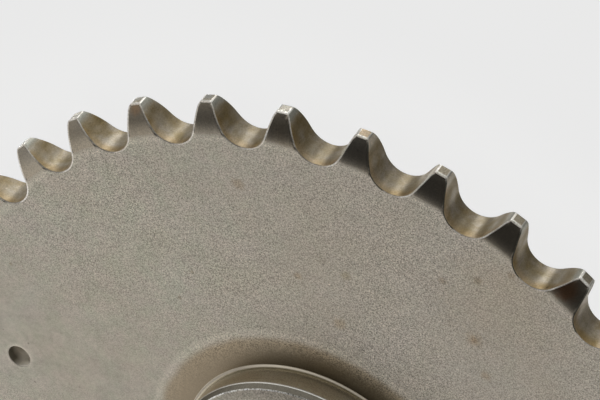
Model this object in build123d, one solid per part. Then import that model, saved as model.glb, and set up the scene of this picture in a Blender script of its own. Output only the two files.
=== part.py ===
from build123d import *
from math import acos, atan2, cos, pi, sin, sqrt
import os

os.makedirs("parts", exist_ok=True)

# A roller-chain sprocket in one piece of steel: a toothed plate with a short turned hub
# on one face. Millimetres, +Z along the bore and out of the hub end. The origin is on the
# bore's axis, on the flat back face. A tooth space lies on +X, with the small hole inside it.

# chain
chain_pitch = 12.7
roller_diameter = 7.77
tooth_count = 34

# teeth
seat_clearance = 0.04        # roller seat radius over the roller's own radius
seat_half_angle = 66.0       # the seat's arc runs this far each way from its lowest point
flank_length = 3.6           # straight working flank above the seat
topping_radius = 2.2         # rounds the flank over into the tip land
tip_height = 2.72            # tip circle above the pitch circle

# toothed plate
plate_thickness = 5.4
relief_depth = 1.8           # axial fall of each side of a tooth at its tip
relief_radius = 9.6          # the fall is an arc tangent to the plate's face

# hub
hub_diameter = 45.4
ledge_width = 0.6            # turned ring at the foot of the hub's wall
ledge_height = 0.5           # above the plate's face
sweep_width = 5.7            # hollow rise from the plate's face to the ledge
hub_height = 5.2             # above the plate's face
hub_chamfer_width = 0.6
hub_chamfer_height = 1.15

# bore and small hole
bore_diameter = 20.0
bore_chamfer = 0.8
hole_diameter = 4.0
hole_circle_radius = 54.7
hole_turn = 0.45             # degrees round from +X, as drilled
hole_edge_break = 0.2

# worked out from the sizes above
half_space = pi / tooth_count
pitch_radius = chain_pitch / 2 / sin(half_space)
tip_radius = pitch_radius + tip_height
seat_radius = roller_diameter / 2 + seat_clearance
relief_length = sqrt(2 * relief_radius * relief_depth - relief_depth**2)
relief_start = tip_radius - relief_length
hub_radius = hub_diameter / 2
bore_radius = bore_diameter / 2
total_height = plate_thickness + hub_height


def polar(radius, angle):
    return Vector(radius * cos(angle), radius * sin(angle))


def mirrored(point):
    return Vector(point.X, -point.Y)


def flank_points():
    """One side of the tooth space on +X: seat end, flank end, topping arc's middle and end."""
    turn = seat_half_angle * pi / 180
    into_tooth = Vector(-cos(turn), sin(turn))
    up_flank = Vector(sin(turn), cos(turn))
    seat_end = Vector(pitch_radius, 0) + into_tooth * seat_radius
    flank_end = seat_end + up_flank * flank_length
    centre = flank_end + into_tooth * topping_radius
    reach = centre.length
    to_tip = acos((reach**2 + tip_radius**2 - topping_radius**2) / (2 * reach * tip_radius))
    tip = polar(tip_radius, atan2(centre.Y, centre.X) - to_tip)
    middle_way = ((flank_end - centre) + (tip - centre)).normalized()
    return seat_end, flank_end, centre + middle_way * topping_radius, tip


def tooth_space_edges():
    """The tooth space on +X and the tip land that follows it."""
    seat_end, flank_end, topping_middle, tip = flank_points()
    seat_bottom = Vector(pitch_radius - seat_radius, 0)
    next_tip_angle = 2 * half_space - atan2(tip.Y, tip.X)
    return [
        ThreePointArc(mirrored(tip), mirrored(topping_middle), mirrored(flank_end)),
        Line(mirrored(flank_end), mirrored(seat_end)),
        ThreePointArc(mirrored(seat_end), seat_bottom, seat_end),
        Line(seat_end, flank_end),
        ThreePointArc(flank_end, topping_middle, tip),
        ThreePointArc(tip, polar(tip_radius, half_space), polar(tip_radius, next_tip_angle)),
    ]


def toothed_prism():
    """The outline of all the teeth, as tall as the whole part."""
    space = tooth_space_edges()
    step = 360 / tooth_count
    edges = [Rot(0, 0, step * turn) * edge for turn in range(tooth_count) for edge in space]
    return extrude(make_face(edges), amount=total_height)


def arc_to(start, end, radius, turning):
    """An arc in the section's plane; turning is 1 or -1."""
    return RadiusArc(start, end, turning * radius)


def turned_blank():
    """The section from the bore out to the tip circle, turned once round the axis."""
    top = plate_thickness
    ledge_radius = hub_radius + ledge_width
    sweep_start = ledge_radius + sweep_width
    sweep_radius = (sweep_width**2 + ledge_height**2) / (2 * ledge_height)
    mouth = bore_radius + bore_chamfer
    section = [
        Line((mouth, 0), (relief_start, 0)),
        arc_to((relief_start, 0), (tip_radius, relief_depth), relief_radius, -1),
        Line((tip_radius, relief_depth), (tip_radius, top - relief_depth)),
        arc_to((tip_radius, top - relief_depth), (relief_start, top), relief_radius, -1),
        Line((relief_start, top), (sweep_start, top)),
        arc_to((sweep_start, top), (ledge_radius, top + ledge_height), sweep_radius, 1),
        Polyline(
            (ledge_radius, top + ledge_height),
            (hub_radius, top + ledge_height),
            (hub_radius, total_height - hub_chamfer_height),
            (hub_radius - hub_chamfer_width, total_height),
            (mouth, total_height),
            (bore_radius, total_height - bore_chamfer),
            (bore_radius, bore_chamfer),
            (mouth, 0),
        ),
    ]
    return revolve(Plane.XZ * make_face(Curve() + section), Axis.Z)


def small_hole():
    """The cutter of the small through hole, with its edges broken on both faces."""
    radius = hole_diameter / 2
    wide = radius + hole_edge_break
    drill = Cylinder(radius, plate_thickness, align=(Align.CENTER, Align.CENTER, Align.MIN))
    lower = Cone(wide, radius, hole_edge_break, align=(Align.CENTER, Align.CENTER, Align.MIN))
    upper = Cone(radius, wide, hole_edge_break, align=(Align.CENTER, Align.CENTER, Align.MAX))
    cutter = drill + lower + Pos(0, 0, plate_thickness) * upper
    return Rot(0, 0, hole_turn) * Pos(hole_circle_radius, 0, 0) * cutter


def make_sprocket():
    sprocket = turned_blank() & toothed_prism()
    return sprocket - small_hole()


sprocket = make_sprocket()
sprocket.label = "sprocket"
export_step(sprocket, "parts/sprocket.step")
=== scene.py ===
from functools import reduce
from math import acos, atan2, cos, hypot, pi, radians, sin, sqrt

import bmesh
import bpy
from mathutils import Matrix, Quaternion, Vector


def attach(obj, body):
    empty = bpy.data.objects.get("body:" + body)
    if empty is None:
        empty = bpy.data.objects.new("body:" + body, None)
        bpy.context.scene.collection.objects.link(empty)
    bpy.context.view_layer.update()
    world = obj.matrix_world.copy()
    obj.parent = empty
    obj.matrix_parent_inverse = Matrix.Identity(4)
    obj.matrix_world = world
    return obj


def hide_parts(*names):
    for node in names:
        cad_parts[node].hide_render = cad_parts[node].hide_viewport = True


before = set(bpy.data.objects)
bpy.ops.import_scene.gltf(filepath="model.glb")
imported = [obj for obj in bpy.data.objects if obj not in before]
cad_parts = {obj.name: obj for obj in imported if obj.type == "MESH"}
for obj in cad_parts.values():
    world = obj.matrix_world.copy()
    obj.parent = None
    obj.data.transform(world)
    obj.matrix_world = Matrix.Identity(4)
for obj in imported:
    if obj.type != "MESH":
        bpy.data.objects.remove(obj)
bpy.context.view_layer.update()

# ---------------------------------------------------------------- sizes, in millimetres
chain_pitch = 12.7
roller_diameter = 7.77
tooth_count = 34
seat_clearance = 0.04
seat_half_angle = 66.0
flank_length = 3.6
topping_radius = 2.2
tip_height = 2.72
plate_thickness = 5.4
relief_depth = 1.8
relief_radius = 9.6
hub_diameter = 45.4
ledge_width = 0.6
ledge_height = 0.5
sweep_width = 5.7
hub_height = 5.2
hub_chamfer_width = 0.6
hub_chamfer_height = 1.15
bore_diameter = 20.0
bore_chamfer = 0.8
hole_diameter = 4.0
hole_circle_radius = 54.7
hole_turn = 0.45
hole_edge_break = 0.2

half_space = pi / tooth_count
pitch_radius = chain_pitch / 2 / sin(half_space)
tip_radius = pitch_radius + tip_height
seat_radius = roller_diameter / 2 + seat_clearance
root_radius = pitch_radius - seat_radius
relief_start = tip_radius - sqrt(2 * relief_radius * relief_depth - relief_depth**2)
plate_middle = plate_thickness / 2
hub_radius = hub_diameter / 2
hub_end_radius = hub_radius - hub_chamfer_width
ledge_radius = hub_radius + ledge_width
ledge_top = plate_thickness + ledge_height
sweep_start = ledge_radius + sweep_width
total_height = plate_thickness + hub_height
chamfer_foot = total_height - hub_chamfer_height
bore_radius = bore_diameter / 2
bore_mouth = bore_radius + bore_chamfer
hole_radius = hole_diameter / 2
hole_x = hole_circle_radius * cos(radians(hole_turn))
hole_y = hole_circle_radius * sin(radians(hole_turn))

MM = 0.001               # a millimetre in metres
HAIR = 0.0005            # vertices closer than this are one
ring_slack = 0.01        # how far off a vertex may be and still lie on a ring
tooth_edge_break = 0.10  # the tumbled edge round every tooth
rubbed_strip = 0.14      # the bright rubbed line beside that edge, on both faces
tip_corner_break = 0.30  # the rounder corners at the tips
lip_rise = 0.28          # the small slanted lip between the sweep and the ledge: its height,
lip_run = 0.25           # its width,
lip_inset = 0.08         # and how far in from the sweep's end it starts
lip_foot = ledge_height - lip_rise
lip_radius = ledge_radius - lip_inset
lip_top_radius = lip_radius - lip_run
rim_inner_radius = 62.0  # the toothed rim is modelled down to here
web_outer_radius = 60.0  # and the hub and web up to here
hole_collar = 0.3        # flat ring left round the small hole's rolled edge
hole_block = hole_radius + 1.3  # the web is opened this far to each side of the small hole
drill_ring_inner = hole_circle_radius - 4.2  # the web has finer faces between these two rings
drill_ring_outer = hole_circle_radius + 4.2

# faces along each stretch of the shape
seat_steps, topping_steps, land_steps, flank_cuts = 9, 5, 2, 3
wall_rows = 4            # up the wall of a tooth space, between its edges
face_rows = 9            # from the outline in to the web
sweep_steps, drill_ring_cuts = 8, 7
turned_steps = 306       # round the hub and web
hole_steps, roll_steps = 48, 6
sharp_angle = 40.0       # edges that turn more than this, in degrees, are broken

# finishes, by slot on the sprocket
BLASTED, FLANK, LAND, TURNED, EDGE, DRILLED, RUBBED = range(7)

# tints that a stain multiplies the steel's colour by
brown, dark, olive, faint = (0.92, 0.86, 0.79), (0.78, 0.75, 0.70), (0.87, 0.85, 0.77), (0.94, 0.94, 0.92)
cooler, warmer = (1.02, 1.035, 1.03), (0.99, 0.965, 0.925)
rusty, straw = (1.0, 0.66, 0.48), (1.05, 0.86, 0.72)

# stains on the hub side: x, y and size in millimetres, and the tint
stains = [
    (6.9, -41.4, 1.0, brown),
    (3.3, -46.6, 1.3, faint),
    (-0.9, -45.3, 1.2, olive),
    (18.4, -54.9, 1.5, brown),
    (26.5, -27.0, 0.6, dark),
    (24.8, -33.4, 0.5, dark),
    (57.0, -19.3, 0.5, dark),
    (-16.3, -51.9, 1.0, dark),
    (-21.9, -54.7, 1.1, dark),
    (-27.0, -58.2, 1.0, dark),
    (-22.8, -42.9, 1.9, brown),
    (-22.8, -42.9, 0.8, brown),
    (-0.9, -35.2, 1.6, brown),
    (-25.6, -36.7, 1.2, brown),
    (32.3, -34.4, 17.0, cooler),
    (-26.0, -52.0, 13.0, warmer),
    (-35.6, -59.0, 2.4, rusty),
    (37.2, -60.2, 1.3, straw),
]

# lamps below the floor: their elevation in degrees and distance in metres; then each one's name,
# azimuth in degrees, width and depth in metres, and power in watts
lamp_elevation = -44.0
lamp_distance = 0.6
lamps = [
    ("low_light", -58, 0.26, 0.35, 0.39),
    ("low_side", -96, 0.46, 0.30, 0.14),
    ("low_fill", 24, 0.46, 0.35, 0.30),
    ("low_back", 112, 0.60, 0.35, 0.30),
]

# the view, in millimetres and degrees: a spot on the plate's face, and where the camera stands from it
view_aim = Vector((7.981, -56.580, plate_thickness))
view_distance = 542.83
view_azimuth, view_elevation, view_roll = -113.386, 43.722, -141.572


# ---------------------------------------------------------------- modelling helpers
def only(kind, geometry):
    """The items of one kind, such as the vertices, out of mixed geometry."""
    return [item for item in geometry if isinstance(item, kind)]


def everything(bm):
    """All the geometry that the shape has so far."""
    return bm.verts[:] + bm.edges[:] + bm.faces[:]


def radius_of(place):
    """How far a place lies from the bore's axis."""
    return hypot(place.x, place.y)


def rise(face):
    """1 on a level face, 0 on an upright one."""
    return abs(face.normal.z)


def walk_to(bm, vert, place):
    """Extrudes a wire from vert to place and gives the new end."""
    end = only(bmesh.types.BMVert, bmesh.ops.extrude_vert_indiv(bm, verts=[vert])["verts"])[0]
    end.co = Vector(place)
    return end


def follow(bm, vert, corners):
    """Draws a wire through the corners of a section, each a radius and a height."""
    for radius, height in corners:
        vert = walk_to(bm, vert, (radius, 0, height))
    return vert


def swing(bm, vert, centre, angle, steps, axis=(0, 0, 1)):
    """Carries vert round centre, leaving an arc of wire, and gives the new end."""
    turned = bmesh.ops.spin(
        bm, geom=[vert], cent=centre, axis=axis, dvec=(0, 0, 0), angle=angle,
        steps=steps, use_merge=False, use_duplicate=False,
    )
    return only(bmesh.types.BMVert, turned["geom_last"])[0]


def extrude_row(bm, edges):
    """Extrudes a row of edges in place and gives the new row's edges and vertices."""
    geometry = bmesh.ops.extrude_edge_only(bm, edges=edges)["geom"]
    verts = only(bmesh.types.BMVert, geometry)
    fresh = set(verts)
    row = [e for e in only(bmesh.types.BMEdge, geometry) if fresh.issuperset(e.verts)]
    return row, verts


def turn_full(bm, geometry, centre, steps):
    """Turns a wire section once round a vertical axis."""
    bmesh.ops.spin(
        bm, geom=geometry, cent=centre, axis=(0, 0, 1), dvec=(0, 0, 0), angle=2 * pi,
        steps=steps, use_merge=True, use_duplicate=False,
    )


def close_up(bm):
    """Joins vertices that meet and points every face outwards."""
    bmesh.ops.remove_doubles(bm, verts=bm.verts[:], dist=HAIR)
    bmesh.ops.recalc_face_normals(bm, faces=bm.faces[:])


def break_edges(bm, edges, width, segments):
    """Rounds the edges, gives the new faces the worn finish, and gives them back."""
    rounded = bmesh.ops.bevel(
        bm, geom=edges, offset=width, offset_type="OFFSET", segments=segments,
        profile=0.5, affect="EDGES", clamp_overlap=True, material=-1, loop_slide=True,
    )
    for face in rounded["faces"]:
        face.material_index = EDGE
    return rounded["faces"]


def edges_at(bm, radius, height, centre=(0, 0)):
    """The ring of edges at that radius and height."""
    def on_ring(vert):
        reach = hypot(vert.co.x - centre[0], vert.co.y - centre[1])
        return abs(reach - radius) < ring_slack and abs(vert.co.z - height) < ring_slack
    return [e for e in bm.edges if on_ring(e.verts[0]) and on_ring(e.verts[1])]


# ---------------------------------------------------------------- teeth
def fall(radius):
    """How far a tooth's side has dropped at that radius."""
    past = max(0.0, radius - relief_start)
    return relief_radius - sqrt(relief_radius**2 - past**2)


def half_tooth_outline(bm):
    """A wire from the lowest point of the tooth space on +X up to the middle of the tip."""
    turn = radians(seat_half_angle)
    into_tooth = Vector((-cos(turn), sin(turn), 0))
    up_flank = Vector((sin(turn), cos(turn), 0))
    lowest = bm.verts.new((root_radius, 0, 0))
    seat_end = swing(bm, lowest, (pitch_radius, 0, 0), -turn, seat_steps)
    flank_end = walk_to(bm, seat_end, seat_end.co + up_flank * flank_length)
    centre = flank_end.co + into_tooth * topping_radius
    reach = centre.length
    to_tip = acos((reach**2 + tip_radius**2 - topping_radius**2) / (2 * reach * tip_radius))
    tip_angle = atan2(centre.y, centre.x) - to_tip
    tip_place = Vector((tip_radius * cos(tip_angle), tip_radius * sin(tip_angle), 0))
    round_over = (flank_end.co - centre).angle(tip_place - centre)
    tip = swing(bm, flank_end, centre, round_over, topping_steps)
    swing(bm, tip, (0, 0, 0), half_space - tip_angle, land_steps)
    flank = [e for e in bm.edges if e.calc_length() > 0.9 * flank_length]
    bmesh.ops.subdivide_edges(bm, edges=flank, cuts=flank_cuts)


def raise_wall(bm, row):
    """Extrudes a tooth space's wall up from its lower edge and gives the upper edge."""
    beside_edge = tooth_edge_break + 0.05
    for level in range(wall_rows + 2):
        row, verts = extrude_row(bm, row)
        for vert in verts:
            low = fall(radius_of(vert.co))
            height = plate_thickness - 2 * low
            climbed = beside_edge + (height - 2 * beside_edge) * level / wall_rows
            vert.co.z = low + min(climbed, height)
    return row


def draw_in(bm, row, upper):
    """Extrudes a face of the rim from the outline in to the web, along the relief."""
    for level in range(face_rows):
        row, verts = extrude_row(bm, row)
        for vert in verts:
            radius = radius_of(vert.co)
            shorter = radius - (radius - rim_inner_radius) / (face_rows - level)
            vert.co.x *= shorter / radius
            vert.co.y *= shorter / radius
            vert.co.z = plate_thickness - fall(shorter) if upper else fall(shorter)


def half_tooth_space(bm):
    """Half a tooth space: its wall, and both faces from the outline in to the web."""
    half_tooth_outline(bm)
    lower = list(bm.edges)
    for vert in bm.verts:
        vert.co.z = fall(radius_of(vert.co))
    upper = raise_wall(bm, lower)
    draw_in(bm, upper, upper=True)
    draw_in(bm, lower, upper=False)


def finish_rim_faces(bm):
    """Blasted sides, cut walls between the teeth, and lands at their tips."""
    for face in bm.faces:
        face.material_index = BLASTED
        if rise(face) < 0.3:
            at_tip = radius_of(face.calc_center_median()) > tip_radius - 0.02
            face.material_index = LAND if at_tip else FLANK


def break_tooth_edges(bm):
    """Rounds the tip corners, marks the rubbed strip on both faces, and breaks the sharp edges."""
    corners = [e for e in bm.edges if {f.material_index for f in e.link_faces} == {LAND, FLANK}]
    for face in break_edges(bm, corners, tip_corner_break, 5):
        if rise(face) > 0.7:
            face.material_index = BLASTED
    strip = bmesh.ops.inset_region(
        bm, faces=[f for f in bm.faces if f.material_index == BLASTED],
        thickness=tooth_edge_break + rubbed_strip, use_boundary=False, use_even_offset=True,
    )
    bm.normal_update()
    for face in strip["faces"]:
        face.material_index = RUBBED
    sharp = [e for e in bm.edges if not e.is_boundary and e.calc_face_angle() > radians(sharp_angle)]
    break_edges(bm, sharp, tooth_edge_break, 3)


def toothed_rim(bm):
    """All the teeth: half a space, mirrored, turned round the bore, joined and finished."""
    half_tooth_space(bm)
    bmesh.ops.mirror(
        bm, geom=everything(bm), matrix=Matrix.Identity(4), merge_dist=HAIR, axis="Y",
    )
    bmesh.ops.spin(
        bm, geom=everything(bm), cent=(0, 0, 0), axis=(0, 0, 1), dvec=(0, 0, 0),
        angle=2 * pi - 2 * half_space, steps=tooth_count - 1, use_merge=False,
        use_duplicate=True,
    )
    close_up(bm)
    finish_rim_faces(bm)
    break_tooth_edges(bm)


# ---------------------------------------------------------------- hub and web
def hub_section(bm):
    """The wire to be turned: over the web, sweep and hub, down the bore and back below."""
    def edge_between(first, second):
        return [e for e in first.link_edges if second in e.verts]

    top = plate_thickness
    sweep_radius = (sweep_width**2 + lip_foot**2) / (2 * lip_foot)
    sweep_turn = 2 * atan2(lip_foot, sweep_width)
    start = bm.verts.new((web_outer_radius, 0, top))
    outer = follow(bm, start, [(drill_ring_outer, top)])
    inner = follow(bm, outer, [(drill_ring_inner, top)])
    drilled = edge_between(inner, outer)
    sweep_edge = follow(bm, inner, [(sweep_start, top)])
    sweep_centre = (sweep_start, 0, top + sweep_radius)
    lip = swing(bm, sweep_edge, sweep_centre, sweep_turn, sweep_steps, axis=(0, 1, 0))
    inner = follow(bm, lip, [
        (lip_radius, top + lip_foot),
        (lip_top_radius, ledge_top),
        (hub_radius, ledge_top),
        (hub_radius, chamfer_foot),
        (hub_end_radius, total_height),
        (bore_mouth, total_height),
        (bore_radius, total_height - bore_chamfer),
        (bore_radius, bore_chamfer),
        (bore_mouth, 0),
        (sweep_start, 0),
        (drill_ring_inner, 0),
    ])
    outer = follow(bm, inner, [(drill_ring_outer, 0)])
    drilled += edge_between(outer, inner)
    follow(bm, outer, [(web_outer_radius, 0)])
    bmesh.ops.subdivide_edges(bm, edges=drilled, cuts=drill_ring_cuts)


def finish_hub_faces(bm):
    """Turned steel on the hub, ledge and bore, the worn edge on the lip, the rest blasted."""
    for face in bm.faces:
        middle = face.calc_center_median()
        reach = radius_of(middle)
        face.material_index = BLASTED
        if rise(face) < 0.8 or hub_radius < reach < ledge_radius:
            face.material_index = TURNED
        if lip_top_radius < reach < lip_radius and middle.z > plate_thickness:
            face.material_index = EDGE


def break_hub_edges(bm):
    """Fine breaks on the turned corners; the one at the hub's foot stays sharp."""
    corners = [  # radius, height and width of each break
        (lip_radius, plate_thickness + lip_foot, 0.06),
        (lip_top_radius, ledge_top, 0.10),
        (hub_radius, chamfer_foot, 0.12),
        (hub_end_radius, total_height, 0.13),
        (bore_mouth, total_height, 0.08),
        (bore_radius, total_height - bore_chamfer, 0.08),
        (bore_radius, bore_chamfer, 0.08),
        (bore_mouth, 0, 0.08),
    ]
    for radius, height, width in corners:
        break_edges(bm, edges_at(bm, radius, height), width, 4)
    for edge in edges_at(bm, hub_radius, ledge_top):
        edge.smooth = False


def hub_and_web(bm):
    """The hub and the web, turned in one go and finished."""
    hub_section(bm)
    turn_full(bm, everything(bm), (0, 0, 0), turned_steps)
    close_up(bm)
    finish_hub_faces(bm)
    break_hub_edges(bm)


# ---------------------------------------------------------------- small hole
def open_web(bm):
    """Takes out the faces round the small hole on both sides and gives the rims left there."""
    def under_drill(face):
        middle = face.calc_center_median()
        beside = max(abs(middle.x - hole_x), abs(middle.y - hole_y))
        return beside < hole_block and rise(face) > 0.9

    def beside_drill(vert):
        return hypot(vert.co.x - hole_x, vert.co.y - hole_y) < 1.5 * hole_block

    bmesh.ops.delete(bm, geom=[f for f in bm.faces if under_drill(f)], context="FACES")
    return [e for e in bm.edges if e.is_boundary and beside_drill(e.verts[0])]


def hole_wall(bm):
    """The small hole's wall with its two rolled edges, turned round the hole's own axis."""
    def place(out, height):
        return (hole_x + hole_radius + out, hole_y, height)

    known = set(bm.verts)
    top = plate_thickness
    rolled = hole_edge_break
    vert = bm.verts.new(place(rolled + hole_collar, top))
    vert = walk_to(bm, vert, place(rolled, top))
    vert = swing(bm, vert, place(rolled, top - rolled), -pi / 2, roll_steps, axis=(0, 1, 0))
    vert = walk_to(bm, vert, place(0, rolled))
    vert = swing(bm, vert, place(rolled, rolled), -pi / 2, roll_steps, axis=(0, 1, 0))
    walk_to(bm, vert, place(rolled + hole_collar, 0))
    section = [v for v in bm.verts if v not in known]
    section += [e for e in bm.edges if known.isdisjoint(e.verts)]
    turn_full(bm, section, (hole_x, hole_y, 0), hole_steps)
    bmesh.ops.remove_doubles(bm, verts=[v for v in bm.verts if v not in known], dist=HAIR)
    for face in bm.faces:
        if known.isdisjoint(face.verts):
            face.material_index = DRILLED if rise(face) < 0.7 else BLASTED


def drill_small_hole(bm):
    """Opens the web on both faces and joins the small hole into it."""
    rims = open_web(bm)
    hole_wall(bm)
    collar_radius = hole_radius + hole_edge_break + hole_collar
    for height in (0, plate_thickness):
        ring = edges_at(bm, collar_radius, height, (hole_x, hole_y))
        opening = [e for e in rims if abs(e.verts[0].co.z - height) < ring_slack]
        filled = bmesh.ops.triangle_fill(bm, edges=ring + opening, use_beauty=True)
        for face in only(bmesh.types.BMFace, filled["geom"]):
            face.material_index = BLASTED


# ---------------------------------------------------------------- the whole sprocket
def join_rim(bm):
    """Sets the toothed rim round the web and bridges the gap between them on both faces."""
    rim = bmesh.new()
    toothed_rim(rim)
    rim_mesh = bpy.data.meshes.new("toothed_rim")
    rim.to_mesh(rim_mesh)
    rim.free()
    bm.from_mesh(rim_mesh)
    bpy.data.meshes.remove(rim_mesh)
    for height in (0, plate_thickness):
        loops = edges_at(bm, web_outer_radius, height) + edges_at(bm, rim_inner_radius, height)
        for face in bmesh.ops.bridge_loops(bm, edges=loops)["faces"]:
            face.material_index = BLASTED
    close_up(bm)


def stand_in_scene(name, bm):
    """Makes an object of the finished shape, at the origin."""
    mesh = bpy.data.meshes.new(name)
    bm.to_mesh(mesh)
    bm.free()
    thing = bpy.data.objects.new(name, mesh)
    bpy.context.scene.collection.objects.link(thing)
    return thing


def make_sprocket():
    """The hub, web, hole and teeth as one closed body, in metres."""
    bm = bmesh.new()
    hub_and_web(bm)
    drill_small_hole(bm)
    join_rim(bm)
    bmesh.ops.scale(bm, vec=(MM, MM, MM), verts=bm.verts[:])
    for face in bm.faces:
        face.smooth = True
    body = stand_in_scene("sprocket_body", bm)
    steady = body.modifiers.new("steady_normals", "WEIGHTED_NORMAL")
    steady.keep_sharp = True
    steady.weight = 90
    return body


# ---------------------------------------------------------------- node helpers
def feed(tree, node, inputs):
    """Links each socket among the inputs, and sets anything else."""
    for name, value in inputs.items():
        if isinstance(value, bpy.types.NodeSocket):
            tree.links.new(value, node.inputs[name])
        else:
            node.inputs[name].default_value = value
    return node


def put(tree, kind, inputs=None, **settings):
    """Adds a shader node with its settings and inputs."""
    node = tree.nodes.new("ShaderNode" + kind)
    for name, value in settings.items():
        setattr(node, name, value)
    return feed(tree, node, inputs or {})


def calc(tree, operation, first, second=0.0):
    """One step of arithmetic."""
    return put(tree, "Math", {0: first, 1: second}, operation=operation).outputs[0]


def times(tree, *values):
    """The values multiplied together."""
    return reduce(lambda one, other: calc(tree, "MULTIPLY", one, other), values)


def plus(tree, *values):
    """The values added up."""
    return reduce(lambda one, other: calc(tree, "ADD", one, other), values)


def highest(tree, *values):
    """The highest of the values."""
    return reduce(lambda one, other: calc(tree, "MAXIMUM", one, other), values)


def span(tree, value, low, high, to_low=0.0, to_high=1.0, smooth=False):
    """Maps value from low..high to to_low..to_high, held at the ends."""
    settings = {"Value": value, "From Min": low, "From Max": high, "To Min": to_low, "To Max": to_high}
    way = "SMOOTHSTEP" if smooth else "LINEAR"
    return put(tree, "MapRange", settings, interpolation_type=way, clamp=True).outputs["Result"]


def span_mm(tree, value, low, high, to_low=0.0, to_high=1.0, smooth=False):
    """Maps a length as span does, with low and high in millimetres."""
    return span(tree, value, low * MM, high * MM, to_low, to_high, smooth)


def band(tree, value, low, middle, high):
    """1 at the middle, falling softly to 0 at low and high."""
    rising = span(tree, value, low, middle, smooth=True)
    return times(tree, rising, span(tree, value, middle, high, 1.0, 0.0, smooth=True))


def band_mm(tree, value, low, middle, high):
    """A band of a length, in millimetres."""
    return band(tree, value, low * MM, middle * MM, high * MM)


def blend_value(tree, amount, first, second):
    """Goes from the first value to the second by the amount."""
    return put(tree, "Mix", {0: amount, 2: first, 3: second}, data_type="FLOAT").outputs[0]


def mix_colour(tree, way, amount, first, second):
    """Two colours mixed in the way that the Mix node names."""
    sockets = {"Factor": amount, 6: first, 7: second}
    return put(tree, "Mix", sockets, data_type="RGBA", blend_type=way, clamp_factor=True).outputs[2]


def blend_colour(tree, amount, first, second):
    """Goes from the first colour to the second by the amount."""
    return mix_colour(tree, "MIX", amount, first, second)


def tinted(tree, colour, tint):
    """The colour multiplied by a tint."""
    return mix_colour(tree, "MULTIPLY", 1.0, colour, tint)


def shaded(tree, colour, factor):
    """The colour, made lighter or darker by a factor."""
    return tinted(tree, colour, put(tree, "CombineColor", {0: factor, 1: factor, 2: factor}).outputs[0])


def rgba(red, green, blue):
    """A solid colour."""
    return (red, green, blue, 1.0)


def noise(tree, place, scale, detail=2.0, roughness=0.5, distortion=0.0):
    """Soft random patches over the place, smaller as the scale grows."""
    sockets = {
        "Vector": place, "Scale": scale, "Detail": detail, "Roughness": roughness, "Distortion": distortion,
    }
    return put(tree, "TexNoise", sockets, noise_dimensions="3D").outputs["Fac"]


def length(tree, way):
    """How long a way is."""
    return put(tree, "VectorMath", {0: way}, operation="LENGTH").outputs["Value"]


def distance(tree, place, point):
    """How far the place is from a point."""
    return put(tree, "VectorMath", {0: place, 1: point}, operation="DISTANCE").outputs["Value"]


def dot(tree, way, other):
    """How far the first way reaches along the other."""
    return put(tree, "VectorMath", {0: way, 1: other}, operation="DOT_PRODUCT").outputs["Value"]


def bump(tree, height, depth):
    """A normal that makes the height look as deep as the depth."""
    return put(tree, "Bump", {"Height": height, "Distance": depth, "Strength": 1.0}).outputs[0]


def new_group(name, inputs, outputs):
    """A node group with named sockets; gives the tree, what comes in, and where it goes out."""
    tree = bpy.data.node_groups.new(name, "ShaderNodeTree")
    for label, kind, value in inputs:
        socket = tree.interface.new_socket(name=label, in_out="INPUT", socket_type="NodeSocket" + kind)
        if value is not None:
            socket.default_value = value
    for label in outputs:
        tree.interface.new_socket(name=label, in_out="OUTPUT", socket_type="NodeSocketFloat")
    start = tree.nodes.new("NodeGroupInput")
    end = tree.nodes.new("NodeGroupOutput")
    return tree, start.outputs, end


# ---------------------------------------------------------------- effects shared by several steels
def make_cylinder_place():
    """Distance from the bore's axis, height above the back face, and x, in metres."""
    tree, given, end = new_group(
        "cylinder_place", [("Place", "Vector", None)], ["Radius", "Height", "Across"],
    )
    split = put(tree, "SeparateXYZ", {"Vector": given["Place"]}).outputs
    level = put(tree, "CombineXYZ", {"X": split["X"], "Y": split["Y"]}).outputs[0]
    feed(tree, end, {"Radius": length(tree, level), "Height": split["Z"], "Across": split["X"]})
    return tree


def make_space_side():
    """1 on the side of every tooth space that faces clockwise, 0 on the other."""
    tree, given, end = new_group("space_side", [("Place", "Vector", None)], ["Side"])
    split = put(tree, "SeparateXYZ", {"Vector": given["Place"]}).outputs
    azimuth = calc(tree, "ARCTAN2", split["Y"], split["X"])
    wave = calc(tree, "SINE", times(tree, azimuth, float(tooth_count)))
    feed(tree, end, {"Side": span(tree, wave, 0.25, 0.6, smooth=True)})
    return tree


def pits_and_flecks(tree, place, strength):
    """Masks of the few cells that are pitted, and of the fewer that shine."""
    cells = put(tree, "TexVoronoi", {"Vector": place, "Scale": 620.0}, feature="F1").outputs
    chosen = put(tree, "SeparateColor", {"Color": cells["Color"]}).outputs
    size = plus(tree, times(tree, chosen[1], 0.12), 0.04)
    near = span(tree, calc(tree, "SUBTRACT", size, cells["Distance"]), 0.0, 0.05)
    pit = times(tree, near, span(tree, chosen[0], 0.78, 0.86), strength)
    fleck = times(tree, near, span(tree, chosen[0], 0.06, 0.03), strength)
    return pit, fleck


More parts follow.
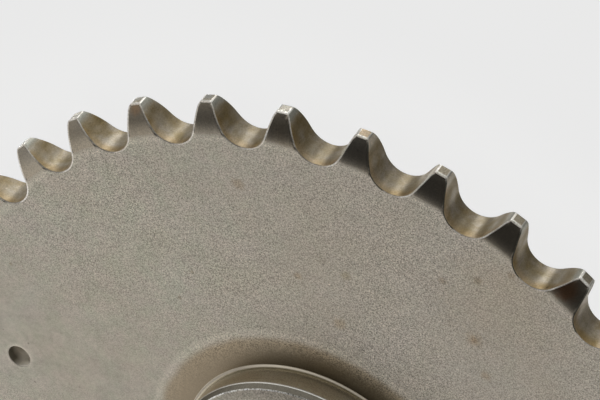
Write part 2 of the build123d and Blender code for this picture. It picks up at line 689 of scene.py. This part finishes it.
def make_blast_grain():
    """Speckle of a blasted face at several sizes, with dark pits and a few bright flecks."""
    tree, given, end = new_group(
        "blast_grain",
        [
            ("Place", "Vector", None),
            ("Contrast", "Float", 1.0),
            ("Mottle", "Float", 0.4),
            ("Pits", "Float", 1.0),
        ],
        ["Shade", "Height"],
    )
    layers = [  # scale, share and the input that sets its strength, from the finest speckle up
        (4300.0, 2.35, "Contrast"),
        (2100.0, 0.12, "Contrast"),
        (950.0, 0.19, "Mottle"),
        (400.0, 0.14, "Mottle"),
        (150.0, 0.14, "Mottle"),
    ]
    pit_darkness, fleck_lightness = 0.35, 0.45
    speckle = 0.0
    for scale, share, strength in layers:
        layer = calc(tree, "SUBTRACT", noise(tree, given["Place"], scale, 1.0, 0.6), 0.5)
        speckle = plus(tree, speckle, times(tree, layer, share, given[strength]))
    pit, fleck = pits_and_flecks(tree, given["Place"], given["Pits"])
    pitted = calc(tree, "SUBTRACT", 1.0, times(tree, pit, pit_darkness))
    flecked = plus(tree, 1.0, times(tree, fleck, fleck_lightness))
    shade = times(tree, plus(tree, 1.0, speckle), pitted, flecked)
    feed(tree, end, {"Shade": shade, "Height": calc(tree, "SUBTRACT", speckle, pit)})
    return tree


def make_oil_film():
    """Broad uneven patches of a thin brown film."""
    tree, given, end = new_group(
        "oil_film", [("Place", "Vector", None), ("Patches", "Float", 90.0)], ["Film"],
    )
    broad = noise(tree, given["Place"], given["Patches"], 3.0, 0.55, 0.4)
    feed(tree, end, {"Film": span(tree, broad, 0.36, 0.66)})
    return tree


def make_stain_spot():
    """A soft, uneven spot of a given size round a centre."""
    tree, given, end = new_group(
        "stain_spot", [("Place", "Vector", None), ("Centre", "Vector", None), ("Size", "Float", 0.001)],
        ["Mask"],
    )
    far = distance(tree, given["Place"], given["Centre"])
    uneven = plus(tree, noise(tree, given["Place"], 1100.0), 0.5)
    reach = calc(tree, "DIVIDE", times(tree, far, uneven), given["Size"])
    feed(tree, end, {"Mask": span(tree, reach, 0.25, 1.0, 1.0, 0.0, smooth=True)})
    return tree


effects = {
    "cylinder_place": make_cylinder_place(),
    "blast_grain": make_blast_grain(),
    "oil_film": make_oil_film(),
    "stain_spot": make_stain_spot(),
    "space_side": make_space_side(),
}


def effect(tree, name, **inputs):
    """Adds a shared effect with this steel's own values and gives its outputs."""
    return put(tree, "Group", inputs, node_tree=effects[name]).outputs


# ---------------------------------------------------------------- steels
grain_depth = 0.004 * MM  # how deep the blasted grain looks
line_depth = 0.002 * MM   # and the turned lines


def tooth_at(share):
    """The radius, in metres, at a share of a tooth's height: 0 at the roots, 1 at the tips."""
    return (root_radius + share * (tip_radius - root_radius)) * MM


def start_steel(name, roughness, metallic=1.0):
    """A metal with its shader, its own coordinates, and the place round the bore's axis."""
    material = bpy.data.materials.new(name)
    material.use_nodes = True
    tree = material.node_tree
    shader = tree.nodes["Principled BSDF"]
    feed(tree, shader, {"Metallic": metallic, "Roughness": roughness})
    place = put(tree, "TexCoord").outputs["Object"]
    return material, tree, shader, place, effect(tree, "cylinder_place", Place=place)


def plate_grain(tree, place, flat, radius, on_teeth, on_sweep):
    """The blasted grain: calm on the teeth, finer down the sweep, soft in two worn areas."""
    patchy = span(tree, noise(tree, place, 45.0), 0.35, 0.65, 1.15, 0.78)
    down_sweep = span_mm(tree, radius, ledge_radius + 1.5, sweep_start - 1.4, 0.30, 1.1)
    worn_spot = (-27.0 * MM, -46.0 * MM, 0.0)
    smooth_x, smooth_y, narrowing = 60.0, -4.0, 0.4
    settled = put(tree, "Mapping", {
        "Vector": flat, "Location": (-narrowing * smooth_x * MM, -smooth_y * MM, 0.0),
        "Scale": (narrowing, 1.0, 1.0),
    }).outputs[0]
    from_smooth = length(tree, settled)
    from_worn = distance(tree, flat, worn_spot)
    contrast = times(
        tree, blend_value(tree, on_teeth, 0.96, 0.40), patchy,
        blend_value(tree, on_sweep, 1.0, down_sweep),
        span_mm(tree, from_smooth, 2.0, 26.0, 0.15, 1.0, smooth=True),
        span_mm(tree, from_worn, 8.0, 22.0, 0.74, 1.0, smooth=True),
    )
    plate_mottle = span_mm(tree, from_smooth, 2.0, 26.0, 1.6, 0.72, smooth=True)
    mottle = times(
        tree, blend_value(tree, on_teeth, plate_mottle, 0.40), blend_value(tree, on_sweep, 1.0, 0.5),
    )
    return effect(tree, "blast_grain", Place=place, Contrast=contrast, Mottle=mottle, Pits=1.0)


def plate_colour(tree, flat, across, film):
    """Warm grey with greener patches, and painted shade that darkens it a little towards one side."""
    plate = blend_colour(tree, film, rgba(0.497, 0.449, 0.385), rgba(0.489, 0.435, 0.362))
    # painted shade: the plate gets a little darker towards one side
    to_painted_shade_side = dot(tree, flat, (-0.96, -0.28, 0.0))
    plate = shaded(tree, plate, span_mm(tree, to_painted_shade_side, -45.0, 50.0, 1.0, 0.93))
    patches = span(tree, noise(tree, flat, 230.0, 3.0, 0.7), 0.40, 0.66)
    patches = times(tree, patches, span_mm(tree, across, 0.0, 30.0, 0.45, 1.15))
    return blend_colour(tree, patches, plate, tinted(tree, plate, rgba(0.945, 0.995, 0.958)))


def lay_stains(tree, colour, flat, hub_side):
    """Tints the colour with every stain of the list, on the hub side alone."""
    for x, y, size, tint in stains:
        spot = effect(tree, "stain_spot", Place=flat, Centre=(x * MM, y * MM, 0.0), Size=size * MM)
        mask = times(tree, spot["Mask"], hub_side)
        colour = blend_colour(tree, mask, colour, tinted(tree, colour, rgba(*tint)))
    return colour


def rubbed_rings(tree, flat, radius, hub_side):
    """How rubbed the face is: round the sweep, the hub's end, the tooth roots and the hole."""
    sweep_ring = band_mm(tree, radius, sweep_start - 1.0, sweep_start + 0.2, sweep_start + 1.4)
    hub_ring = band_mm(tree, radius, hub_end_radius - 0.9, hub_end_radius - 0.2, hub_end_radius + 0.5)
    tooth_ring = band(tree, radius, tooth_at(0.031), tooth_at(0.166), tooth_at(0.302))
    from_hole = distance(tree, flat, (hole_x * MM, hole_y * MM, 0.0))
    hole_ring = band_mm(tree, from_hole, hole_radius - 0.1, hole_radius + 0.3, hole_radius + 1.0)
    return highest(tree, times(tree, highest(tree, sweep_ring, hub_ring), hub_side), tooth_ring, hole_ring)


def painted_shade_at_lip(tree, radius, across, hub_side):
    """Painted shade: a factor that darkens the face beside the hub's lip, most on one side."""
    from_lip = calc(tree, "ABSOLUTE", calc(tree, "SUBTRACT", radius, ledge_radius * MM))
    less_shaded_side = span_mm(tree, across, -4.0, 19.0)
    at_lip = span(tree, times(tree, less_shaded_side, less_shaded_side), 0.0, 1.0, 0.25, 0.80)
    return blend_value(tree, hub_side, 1.0, span_mm(tree, from_lip, 0.0, 4.8, at_lip, 1.0))


def blasted_steel():
    """The plate, both faces and the hub's end: grey and speckled, browner on teeth and sweep."""
    material, tree, shader, place, where = start_steel("blasted_steel", 0.5)
    flat = put(tree, "VectorMath", {0: place, 1: (1.0, 1.0, 0.0)}, operation="MULTIPLY").outputs[0]
    wander = span(tree, noise(tree, place, 350.0), 0.3, 0.7, -0.12 * MM, 0.12 * MM)
    radius = plus(tree, where["Radius"], wander)
    on_teeth = span(tree, radius, tooth_at(0.166), tooth_at(0.347), smooth=True)
    hub_side = span_mm(tree, where["Height"], plate_middle + 0.3, plate_middle + 0.7)
    on_sweep = times(
        tree, span_mm(tree, radius, sweep_start + 0.2, sweep_start - 1.6, smooth=True),
        span_mm(tree, radius, hub_radius - 0.1, hub_radius + 0.1), hub_side,
    )
    film = effect(tree, "oil_film", Place=place, Patches=70.0)["Film"]
    tooth_side = blend_colour(tree, film, rgba(0.315, 0.285, 0.235), rgba(0.325, 0.275, 0.205))
    sweep = blend_colour(tree, film, rgba(0.33, 0.275, 0.198), rgba(0.325, 0.262, 0.18))
    colour = blend_colour(tree, on_teeth, plate_colour(tree, flat, where["Across"], film), tooth_side)
    colour = blend_colour(tree, on_sweep, colour, sweep)
    colour = lay_stains(tree, colour, flat, hub_side)
    grain = plate_grain(tree, place, flat, radius, on_teeth, on_sweep)
    rubbed = span(tree, rubbed_rings(tree, flat, radius, hub_side), 0.0, 1.0, 1.0, 1.16)
    # the face beside the hub's lip gets painted shade
    shade = times(tree, grain["Shade"], rubbed, painted_shade_at_lip(tree, radius, where["Across"], hub_side))
    roughness = blend_value(tree, on_sweep, blend_value(tree, on_teeth, 0.50, 0.22), 0.38)
    feed(tree, shader, {
        "Base Color": shaded(tree, colour, shade), "Roughness": roughness,
        "Normal": bump(tree, grain["Height"], grain_depth),
    })
    return material


def cut_flank():
    """The walls between the teeth: smooth, streaked, with olive stains, a painted straw-tinted highlight
    near the upper face, grey near the tips, and a painted highlight there on the teeth in a band across the
    middle.
    """
    material, tree, shader, place, where = start_steel("cut_flank", 0.35)
    along = put(tree, "Mapping", {"Vector": place, "Scale": (1.0, 1.0, 0.25)}).outputs[0]
    streaks = span(tree, noise(tree, along, 1100.0, 3.0, 0.6), 0.3, 0.7, 0.88, 1.12)
    film = effect(tree, "oil_film", Place=place, Patches=330.0)["Film"]
    grain = effect(tree, "blast_grain", Place=place, Contrast=0.3, Pits=1.0)
    colour = blend_colour(tree, film, rgba(0.46, 0.41, 0.33), rgba(0.34, 0.275, 0.16))
    half_way_up = band(tree, where["Radius"], tooth_at(0.287), tooth_at(0.648), tooth_at(0.873))
    colour = blend_colour(tree, half_way_up, colour, tinted(tree, colour, rgba(0.68, 0.635, 0.52)))
    # painted highlight, straw-tinted, near the upper face
    upper = span_mm(tree, where["Height"], plate_thickness - 2.0, plate_thickness - 0.4, smooth=True)
    colour = blend_colour(tree, upper, colour, tinted(tree, colour, rgba(1.10, 1.0, 0.84)))
    # painted highlight: near the tips, the walls are lighter on the teeth in a band across the middle
    painted_highlight_band = band_mm(tree, where["Across"], -30.0, -6.0, 10.0)
    paler_steel = blend_colour(tree, painted_highlight_band, rgba(0.40, 0.395, 0.34), rgba(0.70, 0.62, 0.50))
    near_tip = span(tree, where["Radius"], tooth_at(0.753), tooth_at(0.949), smooth=True)
    colour = blend_colour(tree, near_tip, colour, paler_steel)
    feed(tree, shader, {
        "Base Color": shaded(tree, colour, times(tree, streaks, grain["Shade"])),
        "Roughness": span(tree, film, 0.0, 1.0, 0.37, 0.44),
        "Normal": bump(tree, grain["Height"], grain_depth),
    })
    return material


def tip_land():
    """The outer ends of the teeth, rubbed lighter at the front, with painted shade on the teeth towards one
    side and a painted highlight on those in a band across the middle.
    """
    material, tree, shader, place, where = start_steel("tip_land", 0.30)
    across = where["Across"]
    film = effect(tree, "oil_film", Place=place, Patches=500.0)["Film"]
    grain = effect(tree, "blast_grain", Place=place, Contrast=0.5, Pits=0.5)
    browner = highest(tree, film, span_mm(tree, across, 30.0, -5.0))
    colour = blend_colour(tree, browner, rgba(0.49, 0.485, 0.45), rgba(0.45, 0.395, 0.295))
    # painted shade: the lands darken towards one side
    colour = shaded(tree, colour, span_mm(tree, across, -18.0, -34.0, 1.0, 0.74))
    # painted highlight on the lands in a band across the middle
    painted_beige_highlight = tinted(tree, colour, rgba(0.90, 0.80, 0.71))
    colour = blend_colour(tree, band_mm(tree, across, -6.0, 0.0, 6.0), colour, painted_beige_highlight)
    land_top = plate_thickness - relief_depth
    front = span_mm(tree, where["Height"], land_top - 0.42, land_top - 0.20)
    colour = blend_colour(tree, front, colour, rgba(0.90, 0.87, 0.79))
    feed(tree, shader, {
        "Base Color": shaded(tree, colour, grain["Shade"]),
        "Normal": bump(tree, grain["Height"], grain_depth),
    })
    return material


def turned_steel():
    """The hub's wall, ledge, chamfers and bore: smooth turned rings with a brown film, painted shade at the
    hub's foot, on the ledge and over most of the chamfer, and a painted highlight in a band at the
    chamfer's foot.
    """
    material, tree, shader, place, where = start_steel("turned_steel", 0.3)
    radius, height = where["Radius"], where["Height"]
    ring = put(tree, "CombineXYZ", {"X": radius, "Z": height}).outputs[0]
    lines = noise(tree, ring, 9000.0, 1.0)
    film = effect(tree, "oil_film", Place=place, Patches=160.0)["Film"]
    grain = effect(tree, "blast_grain", Place=place, Contrast=0.3, Pits=0.5)
    on_hub = span_mm(tree, radius, bore_mouth + 1.0, bore_mouth + 2.0)
    # painted shade at the hub's foot and on the ledge
    foot = times(tree, span_mm(tree, height, ledge_top + 1.1, ledge_top + 0.2), on_hub)
    shaded_ledge = times(tree, foot, span_mm(tree, radius, hub_radius + 0.02, hub_radius + 0.08))
    # painted highlight in a band at the chamfer's foot, painted shade over the rest of the chamfer
    chamfer = times(tree, span_mm(tree, height, chamfer_foot, chamfer_foot + 0.02), on_hub)
    shaded_upper_chamfer = times(tree, span_mm(tree, height, chamfer_foot + 0.15, chamfer_foot + 0.21), on_hub)
    colour = blend_colour(tree, film, rgba(0.97, 0.90, 0.76), rgba(0.92, 0.84, 0.67))
    for area, steel in (
        (foot, rgba(0.40, 0.36, 0.27)),
        (shaded_ledge, rgba(0.52, 0.46, 0.345)),
        (chamfer, rgba(0.98, 0.96, 0.90)),
        (shaded_upper_chamfer, rgba(0.205, 0.188, 0.15)),
    ):
        colour = blend_colour(tree, area, colour, steel)
    shade = times(tree, span(tree, lines, 0.3, 0.7, 0.93, 1.07), grain["Shade"])
    feed(tree, shader, {
        "Base Color": shaded(tree, colour, shade), "Normal": bump(tree, lines, line_depth),
    })
    return material


def worn_edge():
    """Broken edges, rubbed bright at the tips and the hub, with painted shade on one side of each tooth
    space, more on the teeth towards one side, and a little in a narrow band across the middle; the hub's
    lip has a painted highlight that fades towards one side.
    """
    material, tree, shader, place, where = start_steel("worn_edge", 0.36)
    radius, height, across = where["Radius"], where["Height"], where["Across"]
    film = effect(tree, "oil_film", Place=place, Patches=600.0)["Film"]
    side = effect(tree, "space_side", Place=place)["Side"]
    # painted shade: the edges on one side of each tooth space are darker
    shaded_side = times(tree, side, span(tree, radius, tooth_at(0.061), tooth_at(0.121)))
    # painted shade: these edges are darker still on the teeth towards one side, darkest at their lower part
    away = times(
        tree, side, span_mm(tree, across, 14.0, 3.0),
        span_mm(tree, radius, web_outer_radius, web_outer_radius + 1.0),
    )
    near_tip = span(tree, radius, tooth_at(0.588), tooth_at(0.858), smooth=True)
    on_hub = span_mm(tree, radius, web_outer_radius, web_outer_radius - 1.0)
    exposed = times(tree, highest(tree, near_tip, on_hub), span(tree, away, 0.0, 1.0, 1.0, 0.10))
    shaded_corner = times(tree, away, span_mm(tree, height, plate_middle + 0.8, plate_middle + 0.5))
    at_lip = times(
        tree, span_mm(tree, height, ledge_top + 0.5, ledge_top + 0.3),
        span_mm(tree, radius, ledge_radius + 0.7, ledge_radius + 0.5),
    )
    bright = blend_colour(tree, film, rgba(0.95, 0.93, 0.88), rgba(0.84, 0.80, 0.71))
    # painted shade: the bright edges are a little darker in a narrow band across the middle
    bright = shaded(tree, bright, span_mm(tree, calc(tree, "ABSOLUTE", across), 4.0, 7.0, 0.72, 1.0))
    rubbed = blend_colour(tree, film, rgba(0.95, 0.92, 0.85), rgba(0.78, 0.72, 0.61))
    dull = blend_colour(tree, shaded_side, rubbed, rgba(0.34, 0.31, 0.25))
    # painted highlight on the hub's lip, fading towards one side
    lip = blend_colour(
        tree, span_mm(tree, across, 8.5, 15.0), rgba(0.88, 0.79, 0.64), rgba(0.50, 0.445, 0.36),
    )
    colour = blend_colour(tree, exposed, dull, bright)
    colour = blend_colour(tree, shaded_corner, colour, rgba(0.27, 0.26, 0.225))
    colour = blend_colour(tree, at_lip, colour, lip)
    grain = effect(tree, "blast_grain", Place=place, Contrast=1.5, Mottle=1.0, Pits=0.0)
    speckled = shaded(tree, colour, times(tree, grain["Shade"], 0.88))
    hub_end = span_mm(tree, height, total_height - 0.25, total_height - 0.15)
    feed(tree, shader, {
        "Base Color": blend_colour(tree, hub_end, colour, speckled),
        "Roughness": span(tree, film, 0.0, 1.0, 0.32, 0.42),
    })
    return material


def drilled_wall():
    """The small hole's wall: rough and brown, with painted shade high on one side and a pale patch of
    painted light under the rim on the other.
    """
    material, tree, shader, place, where = start_steel("drilled_wall", 0.55, metallic=0.25)
    across, height = where["Across"], where["Height"]
    film = effect(tree, "oil_film", Place=place, Patches=500.0)["Film"]
    # painted shade high on one side of the wall
    painted_shade_in_hole = times(
        tree, span_mm(tree, across, hole_circle_radius - 0.1, hole_circle_radius + 1.1),
        span_mm(tree, height, plate_thickness - 2.4, plate_thickness - 1.1),
    )
    # painted light: a pale patch high on the other side, under the rim
    paler_steel = times(
        tree, span_mm(tree, across, hole_circle_radius + 0.1, hole_circle_radius - 0.8),
        span_mm(tree, height, plate_thickness - 1.8, plate_thickness - 0.6, smooth=True),
    )
    colour = blend_colour(tree, film, rgba(0.64, 0.59, 0.50), rgba(0.54, 0.49, 0.40))
    colour = blend_colour(tree, painted_shade_in_hole, colour, rgba(0.13, 0.115, 0.08))
    feed(tree, shader, {"Base Color": blend_colour(tree, paler_steel, colour, rgba(1.0, 0.94, 0.82))})
    return material


def rubbed_rim():
    """The thin line beside the broken edge, rubbed bright, with painted shade darkening it on one side of
    each tooth space.
    """
    material, tree, shader, place, where = start_steel("rubbed_rim", 0.42)
    film = effect(tree, "oil_film", Place=place, Patches=420.0)["Film"]
    grain = effect(tree, "blast_grain", Place=place, Contrast=0.5, Pits=0.5)
    side = effect(tree, "space_side", Place=place)["Side"]
    # painted shade on one side of each tooth space: full on the teeth towards one side, half as much lower
    # down elsewhere
    lower = span(tree, where["Radius"], tooth_at(0.618), tooth_at(0.347), 0.0, 0.5)
    shaded_stretch = times(tree, side, highest(tree, span_mm(tree, where["Across"], 12.0, 2.0), lower))
    colour = blend_colour(tree, film, rgba(0.90, 0.86, 0.79), rgba(0.68, 0.62, 0.53))
    colour = blend_colour(tree, shaded_stretch, colour, rgba(0.10, 0.092, 0.075))
    feed(tree, shader, {"Base Color": shaded(tree, colour, grain["Shade"])})
    return material


# ---------------------------------------------------------------- the sprocket
sprocket = make_sprocket()
for make_steel in (blasted_steel, cut_flank, tip_land, turned_steel, worn_edge, drilled_wall, rubbed_rim):
    sprocket.data.materials.append(make_steel())
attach(sprocket, "root")
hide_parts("sprocket")


# ---------------------------------------------------------------- floor
def pale_board():
    """A plain board, pale to the eye with a painted halo of light round the teeth, and a painted shadow
    round the teeth where the steel mirrors it, deeper on one side.
    """
    material = bpy.data.materials.new("pale_board")
    material.use_nodes = True
    tree = material.node_tree
    tree.nodes.clear()
    place = put(tree, "TexCoord").outputs["Object"]
    away = length(tree, place)
    across = put(tree, "SeparateXYZ", {"Vector": place}).outputs["X"]
    # painted light: the board's glow is a little brighter round the teeth
    beyond_teeth = span_mm(tree, away, 74.0, 92.0, smooth=True)
    colour = blend_colour(tree, beyond_teeth, rgba(0.875, 0.875, 0.872), rgba(0.857, 0.857, 0.855))
    board = put(tree, "BsdfDiffuse", {"Color": rgba(0.8, 0.8, 0.8)})
    glow = put(tree, "Emission", {"Color": colour, "Strength": 1.0})
    path = put(tree, "LightPath").outputs
    # painted shadow: where the steel mirrors it, the board glows less near the teeth, least on one side
    glow_in_painted_shadow = span_mm(tree, across, 10.0, 45.0, 0.07, 0.30, smooth=True)
    mirrored = span_mm(tree, away, 74.0, 105.0, glow_in_painted_shadow, 0.85, smooth=True)
    amount = highest(
        tree, times(tree, path["Is Camera Ray"], 0.92), times(tree, path["Is Glossy Ray"], mirrored),
        times(tree, path["Is Transmission Ray"], 0.92),
    )
    surface = put(tree, "MixShader", {0: amount, 1: board.outputs[0], 2: glow.outputs[0]})
    put(tree, "OutputMaterial", {"Surface": surface.outputs[0]})
    return material


def make_floor():
    """The board that the sprocket lies on, a hair below its back face."""
    bm = bmesh.new()
    hair_below = Matrix.Translation((0, 0, -0.05 * MM))
    bmesh.ops.create_grid(bm, x_segments=1, y_segments=1, size=3.0, matrix=hair_below)
    floor = stand_in_scene("floor", bm)
    floor.data.materials.append(pale_board())
    floor.visible_shadow = False  # the lamps below shine up through it


# ---------------------------------------------------------------- light
def towards(azimuth, elevation):
    """The direction at that azimuth and elevation, in degrees."""
    level = cos(radians(elevation))
    return Vector((level * cos(radians(azimuth)), level * sin(radians(azimuth)), sin(radians(elevation))))


def low_lamp(name, azimuth, width, depth, power):
    """A soft lamp below the floor that lights the walls between the teeth."""
    data = bpy.data.lights.new(name, "AREA")
    data.shape = "RECTANGLE"
    data.size = width
    data.size_y = depth
    data.energy = power
    data.cycles.use_multiple_importance_sampling = False
    lamp = bpy.data.objects.new(name, data)
    away = towards(azimuth, lamp_elevation)
    lamp.location = away * lamp_distance
    lamp.rotation_euler = away.to_track_quat("Z", "Y").to_euler()
    bpy.context.scene.collection.objects.link(lamp)


def make_studio():
    """A studio with walls brightest on its far side, a bright horizon and a dark ceiling."""
    world = bpy.data.worlds.new("studio")
    bpy.context.scene.world = world
    world.use_nodes = True
    tree = world.node_tree
    split = put(tree, "SeparateXYZ", {"Vector": put(tree, "TexCoord").outputs["Generated"]}).outputs
    height = split["Z"]
    level = put(tree, "CombineXYZ", {"X": split["X"], "Y": split["Y"]}).outputs[0]
    level = put(tree, "VectorMath", {0: level}, operation="NORMALIZE").outputs[0]
    to_far_side = dot(tree, level, towards(68, 0))
    to_near_side = dot(tree, level, towards(-35, 0))
    walls = span(tree, height, 0.55, 0.97, 0.50, 0.055, smooth=True)
    far_wall = times(
        tree, span(tree, to_far_side, 0.64, 0.93, 0.0, 0.60, smooth=True),
        span(tree, height, 0.74, 0.86, 1.0, 0.0, smooth=True),
    )
    near_wall = times(
        tree, span(tree, to_near_side, 0.0, 0.95, 0.0, 0.12, smooth=True),
        band(tree, height, 0.0, 0.4, 0.8),
    )
    horizon = times(
        tree, span(tree, to_near_side, 0.3, 0.8, 0.0, 0.62, smooth=True),
        band(tree, height, -0.10, 0.03, 0.16),
    )
    strength = plus(tree, plus(tree, walls, far_wall), plus(tree, near_wall, horizon))
    feed(tree, tree.nodes["Background"], {"Color": rgba(1, 1, 1), "Strength": strength})


# ---------------------------------------------------------------- camera
def make_camera():
    """A long lens that looks down across the teeth and the hub at the plate's face."""
    data = bpy.data.cameras.new("camera")
    data.sensor_width = 36
    data.lens = 216.098
    data.clip_start = 0.01
    data.clip_end = 20
    camera = bpy.data.objects.new("camera", data)
    away = towards(view_azimuth, view_elevation)
    turned = away.to_track_quat("Z", "Y") @ Quaternion((0, 0, 1), radians(view_roll))
    stand = Matrix.Translation((view_aim + away * view_distance) * MM)
    camera.matrix_world = stand @ turned.to_matrix().to_4x4()
    bpy.context.scene.collection.objects.link(camera)
    bpy.context.scene.camera = camera


make_floor()
make_studio()
for name, azimuth, width, depth, power in lamps:
    low_lamp(name, azimuth, width, depth, power)
make_camera()
bpy.context.scene.view_settings.view_transform = "Standard"
